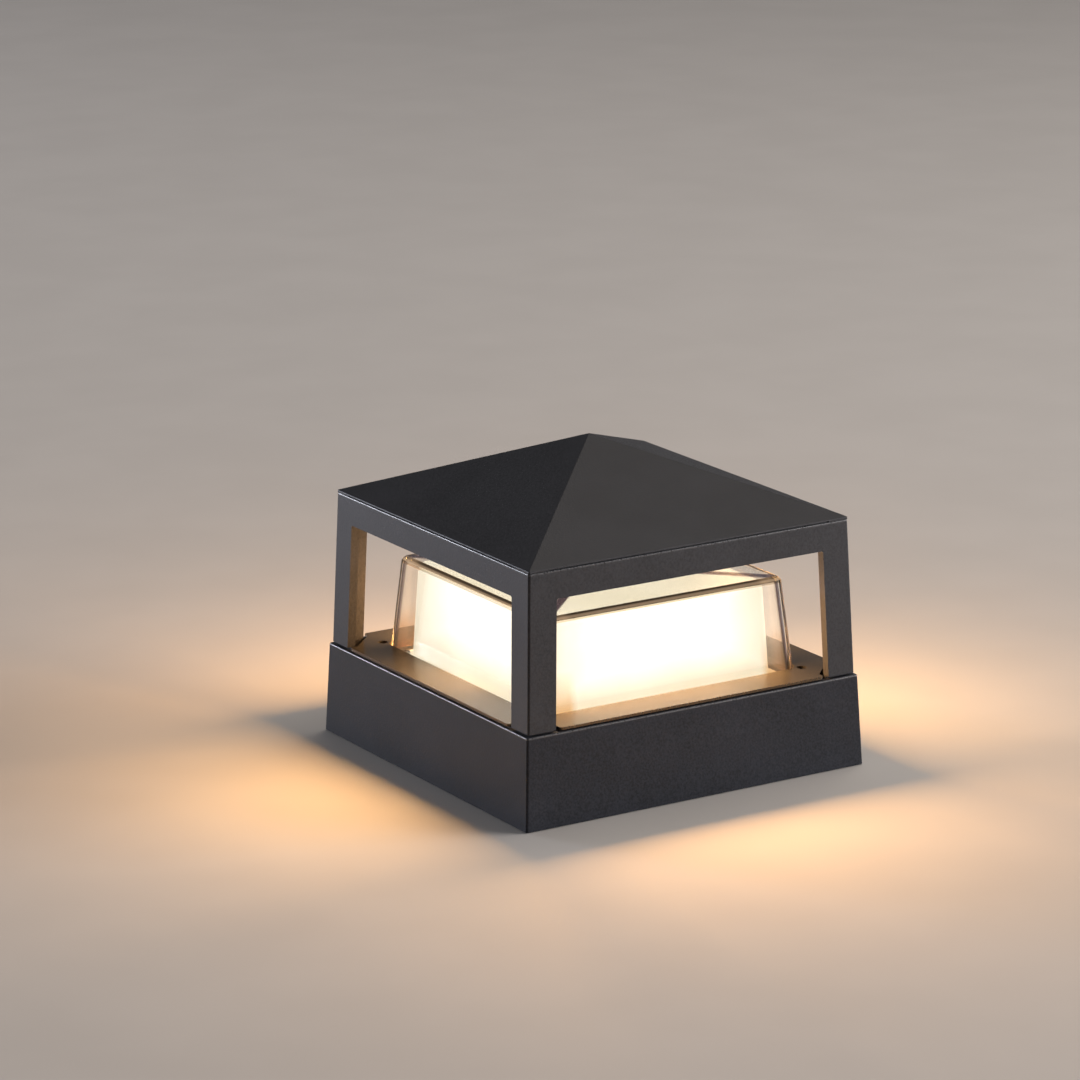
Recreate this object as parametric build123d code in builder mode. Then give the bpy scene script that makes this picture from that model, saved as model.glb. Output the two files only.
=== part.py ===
from build123d import *
import os
from math import atan2, cos, degrees, hypot, radians, tan

# Square pillar light: a flared base box that is screwed to a pier, and a lantern head that lifts off it.
# Millimetres. The origin is the middle of the footprint, on the surface it stands on, and +Z is up.

# Heights of the main pieces, from the surface up
base_height = 33.0
foot_gap = 0.3
shadow_gap = 0.7
frame_height = 55.4
roof_rise = 25.9
roof_land = 0.8

# Widths across the flats, and how far each side steps or leans out below the eave
eave_width = 130.0
frame_lean = 2.05
rim_ledge = 0.9
base_flare = 1.5
tip_width = 1.2

# Walls and edges of the castings
base_wall = 2.2
frame_wall = 3.2
roof_wall = 2.5
casting_corner = 0.8
rim_round = 0.5
lintel_round = 0.5
roof_round = 0.5
roof_boss_cover = 0.8

# Posts, lintel and the hairline groove in the roof's rim
post_leg = 11.0
lintel_height = 10.0
window_corner = 0.8
groove_height = 0.4
groove_depth = 0.6
groove_corner_land = 8.0

# Deck between the posts
deck_proud = 0.6
deck_thickness = 2.5
deck_edge = 0.9
deck_post_gap = 1.85
deck_corner_fill = 9.7
deck_tab_round = 2.0

# Clear cover
cover_margin = 12.4
cover_lean = 3.5
cover_rise = 32.8
cover_wall = 2.0
cover_corner = 4.0
cover_edge = 2.5
cover_flange_reach = 2.8
cover_flange_corner = 11.3
cover_flange = 1.8
gasket_thickness = 0.8
gasket_inset = 0.3

# Opal diffuser
opal_margin = 7.0
opal_lean = 1.8
opal_wall = 1.8
opal_corner = 3.0
opal_edge = 1.5
opal_top_gap = 1.5
opal_flange_reach = 4.2
opal_flange_corner = 2.5
opal_flange = 1.5

# Gear tray and the lamp board
tray_edge = 3.0
tray_thickness = 2.5
plateau_height = 1.8
plateau_margin = 0.5
pad_thickness = 0.5
board_thickness = 1.6
board_screw_inset = 3.5
chip_border = 10.25
chip_rows = 6
chip_length = 3.5
chip_width = 2.8
chip_height = 0.7

# Feet and lugs of the frame
lug_thickness = 5.2
lug_clearance = 0.3
lug_arm = 21.4
lug_arm_width = 8.9
top_lug_thickness = 2.4
top_lug_leg = 21.6

# Screws: shank diameter, head diameter, head height
small_screw = (2.5, 4.5, 1.3)
screw = (3.0, 5.5, 2.2)
socket_screw = (3.0, 5.5, 3.0)
plate_screw = (4.0, 8.0, 2.6)
socket_across = 2.5
socket_depth = 1.5
key_hole = 3.6

# How far the screws stand in from the edge or end that they hold
head_screw_inset = 11.6
frame_screw_inset = 5.4
frame_screw_end = 4.5
roof_screw_inset = 7.8
diffuser_screw_inset = 2.75
plate_screw_inset = 8.0
head_screw_length = 12.0
frame_screw_length = 8.0
tray_screw_length = 6.0
roof_screw_length = 5.0
diffuser_screw_length = 3.8
board_screw_length = 5.0
driver_screw_length = 4.5

# Bosses, ribs, flange and tongues inside the base
boss_width = 9.0
screw_boss = 6.5
rib_thickness = 2.0
rib_drop = 1.0
base_flange = 3.0
base_flange_reach = 7.25
tongue_width = 16.0
tongue_reach = 6.5
tongue_thickness = 3.0

# Foot gasket and mounting plate
foot_gasket_margin = 2.95
foot_gasket_band = 5.0
foot_groove = 1.0
plate_lift = 0.9
plate_thickness = 2.0
plate_gap = 0.5
plate_corner = 16.0
slot_spacing_x = 80.0
slot_spacing_y = 80.0
slot_length = 14.0
slot_width = 5.2
slot_pad_margin = 3.0
cable_hole = 20.0
grommet_wall = 2.0
grommet_lip = 2.5
grommet_lip_height = 0.9

# Driver, terminal block and wires under the tray
driver_length = 62.0
driver_width = 32.0
driver_height = 17.5
driver_inner = 14.0
driver_edge = 1.5
ear_length = 7.0
ear_thickness = 3.0
ear_width = 12.0
block_length = 27.0
block_width = 18.0
block_height = 13.5
block_inner = 25.0
pole_pitch = 8.0
pole_bore = 3.6
pole_height = 4.4
pole_depth = 7.0
clamp_diameter = 3.2
clamp_length = 4.0
clamp_offset = 5.0
block_screw_length = 15.3
earth_gap = 6.5
earth_boss = 8.0
lug_ring = 7.0
lug_sheet = 0.8
lug_barrel = 3.0
lug_barrel_length = 4.0
wire = 1.6
wire_gap = 1.0
wire_drop = 2.0
wire_turn = 11.0
wire_side = 9.0
connector_length = 5.9
connector_width = 8.0
connector_height = 4.0
connector_inset = 1.75
gland_wall = 0.7
gland_step = 0.5
gland_lip = 1.0

# Clearances
spigot_clearance = 0.35
cover_clearance = 0.2
free_hole = 0.4
tapped_hole = 0.1
moving_hole = 0.6
counterbore_room = 0.6
blind_end = 0.6
boss_clearance = 0.35
gland_clearance = 0.2
gland_gap = 0.9

# Levels worked out from the heights
rim_z = base_height
foot_z = rim_z + shadow_gap
seam_z = foot_z + frame_height
eave_z = seam_z + roof_land
tip_z = seam_z + roof_rise
deck_z = foot_z + deck_proud
deck_under_z = deck_z - deck_thickness
cover_foot_z = deck_under_z - cover_flange
cover_top_z = deck_z + cover_rise
tray_z = cover_foot_z - gasket_thickness
tray_under_z = tray_z - tray_thickness
opal_top_z = cover_top_z - cover_wall - opal_top_gap
lug_z = tray_under_z - lug_clearance
lug_under_z = lug_z - lug_thickness
window_top_z = seam_z - lintel_height
plate_z = foot_gap + plate_lift + plate_thickness
base_flange_z = foot_gap + base_flange
tongue_z = plate_z + tongue_thickness
board_z = tray_z + plateau_height + pad_thickness + board_thickness

# Widths worked out from the eave down, then inwards
frame_foot_width = eave_width + 2 * frame_lean
base_rim_width = frame_foot_width + 2 * rim_ledge
base_foot_width = base_rim_width + 2 * base_flare
spigot_half = base_rim_width / 2 - base_wall - spigot_clearance
cover_foot_width = 2 * (spigot_half - cover_margin)
cover_top_width = cover_foot_width - 2 * cover_lean
cover_flange_width = cover_foot_width + 2 * cover_flange_reach
opal_foot_width = cover_foot_width - 2 * opal_margin
opal_top_width = opal_foot_width - 2 * opal_lean
opal_flange_width = opal_foot_width + 2 * opal_flange_reach

# Slopes of the tapered walls, in millimetres of width a side for each millimetre of height
base_slope = (base_foot_width - base_rim_width) / 2 / (base_height - foot_gap)
frame_slope = (frame_foot_width - eave_width) / 2 / frame_height
roof_slope = (tip_z - eave_z) / (eave_width / 2 - tip_width / 2)


def base_half(z):
    """Half the base's outer width at a height."""
    return base_rim_width / 2 + (rim_z - z) * base_slope


def frame_half(z):
    """Half the frame's outer width at a height."""
    return frame_foot_width / 2 - (z - foot_z) * frame_slope


def angle(slope):
    """The taper angle, in degrees, of a wall that leans in by this much for each unit of height."""
    return degrees(atan2(slope, 1))


def is_upright(edge):
    """True for the edges that run from bottom to top, square or leaning."""
    return abs(edge.tangent_at(0.5).Z) > 0.5


def corners(place):
    """Four places, one in each corner."""
    return [(sx * place, sy * place) for sx in (-1, 1) for sy in (-1, 1)]


def turned(x, y):
    """Four places, each a quarter turn from the last."""
    return [(x, y), (-y, x), (-x, -y), (y, -x)]


def tapered_box(foot, top, low, high, corner, edge):
    """A solid square box that leans in towards its top, with rounded corners and top edges."""
    with BuildPart() as box:
        with BuildSketch(Plane.XY.offset(low)):
            Rectangle(foot, foot)
        extrude(amount=high - low, taper=angle((foot - top) / 2 / (high - low)))
        fillet(box.edges().filter_by(is_upright), corner)
        fillet(box.faces().sort_by(Axis.Z)[-1].edges(), edge)
    return box.part


def screw_group(places, seat, length, size, up, socket=False):
    """Screws whose heads sit on a level seat, with the shank pointing up or down from it."""
    shank, head, height = size
    way = 1 if up else -1
    with BuildPart() as group:
        with BuildSketch(Plane.XY.offset(seat)):
            with Locations(*places):
                Circle(shank / 2)
        extrude(amount=way * length)
        with BuildSketch(Plane.XY.offset(seat)):
            with Locations(*places):
                Circle(head / 2)
        extrude(amount=-way * height)
        if socket:
            with BuildSketch(Plane.XY.offset(seat - way * height)):
                with Locations(*places):
                    RegularPolygon(socket_across / 2, 6, major_radius=False)
            extrude(amount=way * socket_depth, mode=Mode.SUBTRACT)
    return group.part


def bend_radii(points):
    """As large a bend at each inner point as its two runs leave room for."""
    radii = []
    for before, here, after in zip(points, points[1:], points[2:]):
        run_in = Vector(*here) - Vector(*before)
        run_out = Vector(*after) - Vector(*here)
        turn = radians(run_in.get_angle(run_out))
        radii.append(0.45 * min(run_in.length, run_out.length) / tan(turn / 2))
    return radii


def wire_along(points):
    """One insulated wire along straight runs and tangent bends."""
    radii = bend_radii(points)
    with BuildPart() as run:
        with BuildLine() as route:
            FilletPolyline(*points, radius=radii)
        with BuildSketch(Plane(origin=points[0], z_dir=Vector(*points[1]) - Vector(*points[0]))):
            Circle(wire / 2)
        sweep(path=route.wires()[0])
    print("bend radii", [round(r, 1) for r in radii], "length", round(route.wires()[0].length, 1))
    return run.part


# Base housing: flared box, open above, with a flange at its foot and bosses for the head's screws
rib_end = base_half(base_flange_z) - base_wall / 2
base_opening = base_foot_width - 2 * base_wall - 2 * base_flange_reach
foot_gasket_width = base_foot_width - 2 * foot_gasket_margin
head_screw_place = spigot_half - head_screw_inset
head_screw_places = corners(head_screw_place)
plate_screw_place = base_opening / 2 - plate_screw_inset
plate_screw_places = turned(plate_screw_place, 0)
with BuildPart() as base_housing:
    with BuildSketch(Plane.XY.offset(foot_gap)):
        Rectangle(base_foot_width, base_foot_width)
    extrude(amount=rim_z - foot_gap, taper=angle(base_slope))
    fillet(base_housing.edges().filter_by(is_upright), casting_corner)
    fillet(base_housing.faces().sort_by(Axis.Z)[-1].edges(), rim_round)
    with BuildSketch(Plane.XY.offset(foot_gap)):
        Rectangle(base_foot_width - 2 * base_wall, base_foot_width - 2 * base_wall)
    extrude(amount=rim_z - foot_gap, taper=angle(base_slope), mode=Mode.SUBTRACT)
    with BuildSketch(Plane.XY.offset(foot_gap)):
        Rectangle(2 * base_half(base_flange_z) - base_wall, 2 * base_half(base_flange_z) - base_wall)
        Rectangle(base_opening, base_opening, mode=Mode.SUBTRACT)
    extrude(amount=base_flange)
    with BuildSketch(Plane.XY.offset(foot_gap)):
        Rectangle(foot_gasket_width, foot_gasket_width)
        inside = foot_gasket_width - 2 * foot_gasket_band
        Rectangle(inside, inside, mode=Mode.SUBTRACT)
    extrude(amount=foot_groove, mode=Mode.SUBTRACT)
    with BuildSketch(Plane.XY.offset(plate_z)):
        tongue_in = plate_screw_place - tongue_reach
        with PolarLocations((tongue_in + rib_end) / 2, 4):
            Rectangle(rib_end - tongue_in, tongue_width)
    extrude(amount=tongue_thickness)
    with BuildSketch(Plane.XY.offset(tongue_z)):
        with Locations(*head_screw_places):
            Circle(boss_width / 2)
    extrude(amount=lug_under_z - tongue_z)
    with BuildSketch(Plane.XY.offset(base_flange_z)):
        middle = (head_screw_place + rib_end) / 2
        reach = rib_end - head_screw_place
        for sx in (-1, 1):
            for sy in (-1, 1):
                with Locations((sx * middle, sy * head_screw_place)):
                    Rectangle(reach, rib_thickness)
                with Locations((sx * head_screw_place, sy * middle)):
                    Rectangle(rib_thickness, reach)
    extrude(amount=lug_under_z - rib_drop - base_flange_z)
    with BuildSketch(Plane.XY.offset(tongue_z)):
        with Locations(*head_screw_places):
            Circle((socket_screw[0] + moving_hole) / 2)
    extrude(amount=lug_under_z - tongue_z, mode=Mode.SUBTRACT)
    with BuildSketch(Plane.XY.offset(plate_z)):
        with Locations(*plate_screw_places):
            Circle((plate_screw[0] + free_hole) / 2)
    extrude(amount=tongue_thickness, mode=Mode.SUBTRACT)
base_housing.part.label = "base_housing"
export_step(base_housing.part, "parts/base_housing.step")

# Foot gasket: foam ring in the flange's groove, which the light rests on
with BuildPart() as foot_gasket:
    with BuildSketch():
        Rectangle(foot_gasket_width, foot_gasket_width)
        inside = foot_gasket_width - 2 * foot_gasket_band
        Rectangle(inside, inside, mode=Mode.SUBTRACT)
    extrude(amount=foot_gap + foot_groove)
foot_gasket.part.label = "foot_gasket"
export_step(foot_gasket.part, "parts/foot_gasket.step")

# Mounting plate: steel, with pressed pads round its four slots and a cable hole in the middle
plate_width = base_opening - 2 * plate_gap
with BuildPart() as mounting_plate:
    with BuildSketch(Plane.XY.offset(plate_z - plate_thickness)) as blank:
        Rectangle(plate_width, plate_width)
        chamfer(blank.vertices(), plate_corner)
        Circle(cable_hole / 2, mode=Mode.SUBTRACT)
        with Locations(*plate_screw_places):
            Circle((plate_screw[0] + tapped_hole) / 2, mode=Mode.SUBTRACT)
    extrude(amount=plate_thickness)
    with BuildSketch(Plane.XY.offset(foot_gap)):
        with GridLocations(slot_spacing_x, slot_spacing_y, 2, 2):
            SlotOverall(slot_length + 2 * slot_pad_margin, slot_width + 2 * slot_pad_margin)
    extrude(amount=plate_lift)
    with BuildSketch(Plane.XY.offset(foot_gap)):
        with GridLocations(slot_spacing_x, slot_spacing_y, 2, 2):
            SlotOverall(slot_length, slot_width)
    extrude(amount=plate_lift + plate_thickness, mode=Mode.SUBTRACT)
mounting_plate.part.label = "mounting_plate"
export_step(mounting_plate.part, "parts/mounting_plate.step")

# Plate screws: hold the base's tongues down on the plate
plate_screw_length = tongue_thickness + plate_thickness
plate_screws = screw_group(plate_screw_places, tongue_z, plate_screw_length, plate_screw, up=False)
plate_screws.label = "plate_screws"
export_step(plate_screws, "parts/plate_screws.step")

# Cable grommet: rubber ring with a lip each side of the plate
with BuildPart() as cable_grommet:
    with BuildSketch(Plane.XY.offset(plate_z - plate_thickness - grommet_lip_height)):
        Circle(cable_hole / 2 + grommet_lip)
    extrude(amount=grommet_lip_height)
    with BuildSketch(Plane.XY.offset(plate_z)):
        Circle(cable_hole / 2 + grommet_lip)
    extrude(amount=grommet_lip_height)
    with BuildSketch(Plane.XY.offset(plate_z - plate_thickness)):
        Circle((cable_hole - tapped_hole) / 2)
    extrude(amount=plate_thickness)
    with BuildSketch(Plane.XY.offset(plate_z - plate_thickness - grommet_lip_height)):
        Circle(cable_hole / 2 - grommet_wall)
    extrude(amount=plate_thickness + 2 * grommet_lip_height, mode=Mode.SUBTRACT)
cable_grommet.part.label = "cable_grommet"
export_step(cable_grommet.part, "parts/cable_grommet.step")

# Deck plate: flush with the posts between them, with cut corners that leave a dark pocket at each post
window_foot_half = frame_half(foot_z) - post_leg
tab_half = window_foot_half - deck_post_gap
opening_width = cover_foot_width + 2 * cover_clearance
tray_screw_place = cover_flange_width / 2 + boss_clearance + screw_boss / 2
tray_screw_places = turned(tray_screw_place, 0)
frame_screw_far = spigot_half - frame_screw_inset
frame_screw_near = spigot_half - lug_arm + frame_screw_end
frame_screw_places = turned(frame_screw_far, frame_screw_near)


def deck_outline(half):
    """The deck's plan: a square less its corners, with the tabs' ends rounded."""
    with BuildSketch() as plan:
        Rectangle(2 * half, 2 * half)
        with PolarLocations(0, 4):
            Polygon(
                (tab_half, tab_half + deck_corner_fill),
                (tab_half + deck_corner_fill, tab_half),
                (half + 1, tab_half),
                (half + 1, half + 1),
                (tab_half, half + 1),
                align=None,
                mode=Mode.SUBTRACT,
            )
        ends = [v for v in plan.vertices() if max(abs(v.X), abs(v.Y)) > half - 0.01]
        fillet(ends, min(deck_tab_round, 0.45 * (half - tab_half - deck_corner_fill)))
    return plan.sketch


with BuildPart() as deck_plate:
    with BuildSketch(Plane.XY.offset(deck_z - deck_edge)):
        add(deck_outline(frame_half(foot_z)))
    extrude(amount=deck_edge)
    with BuildSketch(Plane.XY.offset(deck_under_z)):
        add(deck_outline(spigot_half))
    extrude(amount=deck_thickness - deck_edge)
    with BuildSketch(Plane.XY.offset(tray_z)):
        with Locations(*tray_screw_places):
            Circle(screw_boss / 2)
    extrude(amount=deck_under_z - tray_z)
    with BuildSketch(Plane.XY.offset(lug_z)):
        with Locations(*frame_screw_places):
            Circle(screw_boss / 2)
    extrude(amount=deck_under_z - lug_z)
    with BuildSketch(Plane.XY.offset(deck_under_z)):
        RectangleRounded(opening_width, opening_width, cover_corner + cover_clearance)
        with Locations(*head_screw_places):
            Circle(key_hole / 2)
    extrude(amount=deck_thickness, mode=Mode.SUBTRACT)
    with BuildSketch(Plane.XY.offset(tray_z)):
        with Locations(*tray_screw_places):
            Circle((screw[0] + tapped_hole) / 2)
    extrude(amount=tray_screw_length - tray_thickness + blind_end, mode=Mode.SUBTRACT)
    with BuildSketch(Plane.XY.offset(lug_z)):
        with Locations(*frame_screw_places):
            Circle((screw[0] + tapped_hole) / 2)
    frame_seat_z = lug_under_z + screw[2] + blind_end
    extrude(amount=frame_seat_z + frame_screw_length + blind_end - lug_z, mode=Mode.SUBTRACT)
deck_plate.part.label = "deck_plate"
export_step(deck_plate.part, "parts/deck_plate.step")

# Lantern frame: four L-section posts and the lintel in one casting, with feet that reach into the base
window_top_half = frame_half(window_top_z) - post_leg
window_drop = 2.0
inner_foot_half = frame_half(foot_z) - frame_wall
roof_screw_places = corners(frame_half(seam_z) - frame_wall - roof_screw_inset)
with BuildPart() as lantern_frame:
    with BuildSketch(Plane.XY.offset(foot_z)):
        Rectangle(frame_foot_width, frame_foot_width)
    extrude(amount=frame_height, taper=angle(frame_slope))
    fillet(lantern_frame.edges().filter_by(is_upright), casting_corner)
    fillet(lantern_frame.faces().sort_by(Axis.Z)[-1].edges(), lintel_round)
    with BuildSketch(Plane.XY.offset(foot_z)):
        Rectangle(2 * inner_foot_half, 2 * inner_foot_half)
    extrude(amount=frame_height, taper=angle(frame_slope), mode=Mode.SUBTRACT)
    for side in (Plane.XZ, Plane.YZ):
        with BuildSketch(side) as window:
            low_half = window_foot_half + window_drop * frame_slope
            Polygon(
                (-low_half, foot_z - window_drop),
                (low_half, foot_z - window_drop),
                (window_top_half, window_top_z),
                (-window_top_half, window_top_z),
                align=None,
            )
            fillet(window.vertices().group_by(Axis.Y)[-1], window_corner)
        extrude(amount=frame_foot_width, both=True, mode=Mode.SUBTRACT)
    with BuildSketch(Plane.XY.offset(lug_under_z)):
        with PolarLocations(0, 4):
            Polygon(
                (spigot_half, spigot_half),
                (spigot_half, window_foot_half),
                (inner_foot_half, window_foot_half),
                (inner_foot_half, inner_foot_half),
                (window_foot_half, inner_foot_half),
                (window_foot_half, spigot_half),
                align=None,
            )
    extrude(amount=foot_z + deck_proud - lug_under_z)
    with BuildSketch(Plane.XY.offset(lug_under_z)):
        with PolarLocations(0, 4):
            Polygon(
                (spigot_half, spigot_half),
                (spigot_half, spigot_half - lug_arm),
                (spigot_half - lug_arm_width, spigot_half - lug_arm),
                (spigot_half - lug_arm, spigot_half - lug_arm_width),
                (spigot_half - lug_arm, spigot_half),
                align=None,
            )
    extrude(amount=lug_thickness)
    with BuildSketch(Plane.XY.offset(seam_z - top_lug_thickness)):
        inner_top_half = frame_half(seam_z) - frame_wall
        lug_root = inner_top_half + frame_wall / 4
        with PolarLocations(0, 4):
            Polygon(
                (lug_root, lug_root),
                (lug_root, inner_top_half - top_lug_leg),
                (inner_top_half - top_lug_leg, lug_root),
                align=None,
            )
    extrude(amount=top_lug_thickness)
    with BuildSketch(Plane.XY.offset(lug_under_z)):
        with Locations(*head_screw_places):
            Circle((socket_screw[0] + free_hole) / 2)
        with Locations(*frame_screw_places):
            Circle((screw[0] + free_hole) / 2)
    extrude(amount=lug_thickness, mode=Mode.SUBTRACT)
    head_seat_z = lug_z - socket_screw[2] - lug_clearance
    with BuildSketch(Plane.XY.offset(head_seat_z)):
        with Locations(*head_screw_places):
            Circle((socket_screw[1] + counterbore_room) / 2)
    extrude(amount=lug_z - head_seat_z, mode=Mode.SUBTRACT)
    with BuildSketch(Plane.XY.offset(lug_under_z)):
        with Locations(*frame_screw_places):
            Circle((screw[1] + counterbore_room) / 2)
    extrude(amount=frame_seat_z - lug_under_z, mode=Mode.SUBTRACT)
    with BuildSketch(Plane.XY.offset(seam_z - top_lug_thickness)):
        with Locations(*roof_screw_places):
            Circle((screw[0] + free_hole) / 2)
    extrude(amount=top_lug_thickness, mode=Mode.SUBTRACT)
lantern_frame.part.label = "lantern_frame"
export_step(lantern_frame.part, "parts/lantern_frame.step")

# Roof cap: hollow hip roof with a hairline groove at its foot and a screw boss inside each corner
wall_drop = roof_wall * hypot(1, roof_slope)
boss_run = frame_wall + roof_screw_inset - screw_boss / 2
roof_boss_z = eave_z + boss_run * roof_slope - roof_boss_cover
with BuildPart() as roof_cap:
    with BuildSketch(Plane.XY.offset(eave_z)):
        Rectangle(eave_width, eave_width)
    with BuildSketch(Plane.XY.offset(tip_z)):
        Rectangle(tip_width, tip_width)
    loft(ruled=True)
    with BuildSketch(Plane.XY.offset(seam_z)):
        Rectangle(eave_width, eave_width)
    extrude(amount=roof_land)
    outer_edges = roof_cap.edges().filter_by_position(Axis.Z, seam_z + 0.01, tip_z - 0.01)
    fillet(outer_edges, roof_round)
    with BuildSketch(Plane.XY.offset(seam_z)):
        with PolarLocations(eave_width / 2, 4):
            Rectangle(2 * groove_depth, eave_width - 2 * groove_corner_land)
    extrude(amount=groove_height, mode=Mode.SUBTRACT)
    with BuildPart(mode=Mode.PRIVATE) as hollow:
        hollow_half = eave_width / 2 - (wall_drop - roof_land) / roof_slope
        with BuildSketch(Plane.XY.offset(seam_z)):
            Rectangle(2 * hollow_half, 2 * hollow_half)
        with BuildSketch(Plane.XY.offset(tip_z - wall_drop)):
            Rectangle(tip_width, tip_width)
        loft(ruled=True)
    add(hollow.part, mode=Mode.SUBTRACT)
    with BuildSketch(Plane.XY.offset(seam_z)):
        with Locations(*roof_screw_places):
            Circle(screw_boss / 2)
    extrude(amount=roof_boss_z - seam_z)
    with BuildSketch(Plane.XY.offset(seam_z)):
        with Locations(*roof_screw_places):
            Circle((screw[0] + tapped_hole) / 2)
    extrude(amount=roof_screw_length - top_lug_thickness + blind_end / 2, mode=Mode.SUBTRACT)
roof_cap.part.label = "roof_cap"
export_step(roof_cap.part, "parts/roof_cap.step")

# Screws of the head
roof_screws = screw_group(roof_screw_places, seam_z - top_lug_thickness, roof_screw_length, screw, up=True)
roof_screws.label = "roof_screws"
export_step(roof_screws, "parts/roof_screws.step")

frame_screws = screw_group(frame_screw_places, frame_seat_z, frame_screw_length, screw, up=True)
frame_screws.label = "frame_screws"
export_step(frame_screws, "parts/frame_screws.step")

head_screws = screw_group(
    head_screw_places, head_seat_z, head_screw_length, socket_screw, up=False, socket=True
)
head_screws.label = "head_screws"
export_step(head_screws, "parts/head_screws.step")

tray_screws = screw_group(tray_screw_places, tray_under_z, tray_screw_length, screw, up=True)
tray_screws.label = "tray_screws"
export_step(tray_screws, "parts/tray_screws.step")

# Clear cover: thin tapered box, with a flange that the tray presses up under the deck
cover_slope = (cover_foot_width - cover_top_width) / 2 / (cover_top_z - cover_foot_z)
core_top_width = cover_top_width - 2 * cover_wall + 2 * cover_wall * cover_slope
cover_core = tapered_box(
    cover_foot_width - 2 * cover_wall,
    core_top_width,
    cover_foot_z,
    cover_top_z - cover_wall,
    cover_corner - cover_wall,
    cover_edge - cover_wall,
)
with BuildPart() as clear_cover:
    add(tapered_box(cover_foot_width, cover_top_width, cover_foot_z, cover_top_z, cover_corner, cover_edge))
    with BuildSketch(Plane.XY.offset(cover_foot_z)):
        RectangleRounded(cover_flange_width, cover_flange_width, cover_flange_corner)
    extrude(amount=cover_flange)
    add(cover_core, mode=Mode.SUBTRACT)
clear_cover.part.label = "clear_cover"
export_step(clear_cover.part, "parts/clear_cover.step")

# Cover gasket: flat silicone ring between the cover's flange and the tray
with BuildPart() as cover_gasket:
    with BuildSketch(Plane.XY.offset(tray_z)):
        outside = cover_flange_width - 2 * gasket_inset
        inside = cover_foot_width - 2 * cover_wall
        RectangleRounded(outside, outside, cover_flange_corner)
        RectangleRounded(inside, inside, cover_corner - cover_wall, mode=Mode.SUBTRACT)
    extrude(amount=gasket_thickness)
cover_gasket.part.label = "cover_gasket"
export_step(cover_gasket.part, "parts/cover_gasket.step")

# Inner diffuser: opal box that glows, with a foot flange screwed to the tray
diffuser_screw_places = corners(opal_flange_width / 2 - diffuser_screw_inset)
opal_slope = (opal_foot_width - opal_top_width) / 2 / (opal_top_z - tray_z)
opal_core = tapered_box(
    opal_foot_width - 2 * opal_wall,
    opal_top_width - 2 * opal_wall + 2 * opal_wall * opal_slope,
    tray_z,
    opal_top_z - opal_wall,
    opal_corner - opal_wall,
    opal_edge / 3,
)
with BuildPart() as inner_diffuser:
    add(tapered_box(opal_foot_width, opal_top_width, tray_z, opal_top_z, opal_corner, opal_edge))
    with BuildSketch(Plane.XY.offset(tray_z)):
        RectangleRounded(opal_flange_width, opal_flange_width, opal_flange_corner)
        with Locations(*diffuser_screw_places):
            Circle((small_screw[0] + free_hole) / 2, mode=Mode.SUBTRACT)
    extrude(amount=opal_flange)
    add(opal_core, mode=Mode.SUBTRACT)
inner_diffuser.part.label = "inner_diffuser"
export_step(inner_diffuser.part, "parts/inner_diffuser.step")

opal_seat_z = tray_z + opal_flange
diffuser_screws = screw_group(
    diffuser_screw_places, opal_seat_z, diffuser_screw_length, small_screw, up=False
)
diffuser_screws.label = "diffuser_screws"
export_step(diffuser_screws, "parts/diffuser_screws.step")

# Gear tray: cast plate that closes the head from below, with a raised seat for the lamp board
tray_width = 2 * (tray_screw_place + tray_edge)
boss_room = (screw_boss / 2 + boss_clearance) * 2**0.5
tray_corner_cut = tray_width - frame_screw_far - frame_screw_near + boss_room
wire_spacing = wire + wire_gap
gland_neck = wire_spacing + wire + 2 * gland_wall
gland_flange = gland_neck + 2 * gland_step
gland_place = opal_wall + gland_gap + gland_flange / 2 - opal_foot_width / 2
plateau_width = -2 * (gland_place + gland_flange / 2 + gland_clearance)
board_width = plateau_width - 2 * plateau_margin
board_screw_places = corners(board_width / 2 - board_screw_inset)
driver_place = driver_inner + driver_width / 2
block_place = -block_inner - block_width / 2
block_under_z = tray_under_z - block_height
wire_height = block_under_z + pole_height
earth_place = -block_length / 2 - earth_gap - earth_boss / 2
ear_screw_place = driver_length / 2 + ear_length / 2
ear_screw_places = [(-ear_screw_place, driver_place), (ear_screw_place, driver_place)]
block_screw_places = [(-pole_pitch / 2, block_place), (pole_pitch / 2, block_place)]
earth_z = wire_height + lug_sheet / 2
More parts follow.
